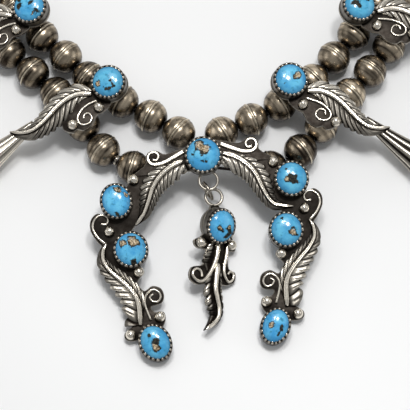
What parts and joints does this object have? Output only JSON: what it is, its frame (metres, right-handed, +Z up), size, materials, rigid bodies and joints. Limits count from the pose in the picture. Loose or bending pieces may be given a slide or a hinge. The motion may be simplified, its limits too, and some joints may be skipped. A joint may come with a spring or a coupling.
{
  "type": "squash blossom necklace",
  "caption": "Silver bead necklace in two strands with turquoise-set leaf and trumpet blossoms, and a crescent naja pendant with a drop hanging in its opening.",
  "frame": {"origin": "middle of the laid necklace's box, on the surface it lies on", "axes": "+Z up from the surface, +Y from the naja to the clasp, +X to the wearer's left as seen from the front"},
  "size_m": [0.238, 0.287, 0.0157],
  "materials": {
    "bead_silver": "dark tarnished silver, softly polished on the high points",
    "worked_silver": "silver with black oxidised recesses and polished edges",
    "bright_silver": "polished silver wire",
    "turquoise": "polished blue turquoise with brown and black matrix",
    "thread": "dark twisted thread"
  },
  "bodies": {
    "root": {"naja": "worked_silver", "naja_stone_top": "turquoise", "naja_stone_left_1": "turquoise", "naja_stone_left_2": "turquoise", "naja_stone_left_3": "turquoise", "naja_stone_right_1": "turquoise", "naja_stone_right_2": "turquoise", "naja_stone_right_3": "turquoise", "drop_link": "bright_silver", "drop": "worked_silver", "drop_stone": "turquoise", "blossom_left_1": "worked_silver", "blossom_left_2": "worked_silver", "blossom_left_3": "worked_silver", "blossom_left_4": "worked_silver", "blossom_left_5": "worked_silver", "blossom_right_1": "worked_silver", "blossom_right_2": "worked_silver", "blossom_right_3": "worked_silver", "blossom_right_4": "worked_silver", "blossom_right_5": "worked_silver", "blossom_stone_left_1": "turquoise", "blossom_stone_left_2": "turquoise", "blossom_stone_left_3": "turquoise", "blossom_stone_left_4": "turquoise", "blossom_stone_left_5": "turquoise", "blossom_stone_right_1": "turquoise", "blossom_stone_right_2": "turquoise", "blossom_stone_right_3": "turquoise", "blossom_stone_right_4": "turquoise", "blossom_stone_right_5": "turquoise", "inner_beads_left": "bead_silver", "inner_beads_right": "bead_silver", "outer_beads_left": "bead_silver", "outer_beads_right": "bead_silver", "inner_thread": "thread", "outer_thread": "thread", "wire_coil": "bright_silver", "end_cone_left": "worked_silver", "end_cone_right": "worked_silver", "clasp": "bright_silver"}
  },
  "joints": []
}
